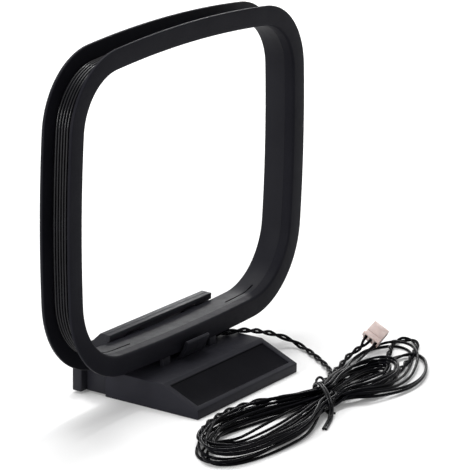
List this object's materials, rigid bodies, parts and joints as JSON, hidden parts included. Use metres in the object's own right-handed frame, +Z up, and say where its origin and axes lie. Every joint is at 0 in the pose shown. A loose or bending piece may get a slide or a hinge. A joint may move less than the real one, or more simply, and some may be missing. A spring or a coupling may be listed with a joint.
{
  "type": "loop antenna",
  "caption": "Rounded-square AM loop antenna with a wire-wound channel, hinged on a small wedge stand, with a twisted lead tied in a hank and a small plug.",
  "frame": {"origin": "on the floor, in the middle of the footprint of the antenna without its lead", "axes": "+X along the loop's width, +Y from the stand's sloping front to its back plate, +Z up"},
  "size_m": [0.1116, 0.0757, 0.1012],
  "materials": {
    "stand_plastic": "moulded black, fine satin",
    "support_plastic": "moulded black, fine satin",
    "front_frame_plastic": "moulded black, fine satin",
    "rear_frame_plastic": "moulded black, fine satin",
    "winding_wire": "black insulated wire",
    "lead_wire": "black insulated wire",
    "tie_plastic": "plastic-coated wire",
    "plug_plastic": "natural moulded nylon",
    "contact_metal": "tinned brass"
  },
  "bodies": {
    "stand": {"stand_shell": "stand_plastic", "rear_support": "support_plastic", "lead_bridge": "lead_wire", "lead_run": "lead_wire", "lead_hank": "lead_wire", "lead_tail": "lead_wire", "hank_tie": "tie_plastic", "plug_housing": "plug_plastic", "plug_contacts": "contact_metal"},
    "loop": {"front_frame": "front_frame_plastic", "rear_frame": "rear_frame_plastic", "loop_winding": "winding_wire"}
  },
  "joints": [
    {"name": "loop_fold", "type": "hinge", "parent": "stand", "child": "loop", "pos_m": [0, 0.0101, 0.0167], "axis": [1, 0, 0], "range_deg": [-90, 0], "deforming": ["lead_bridge"]}
  ]
}
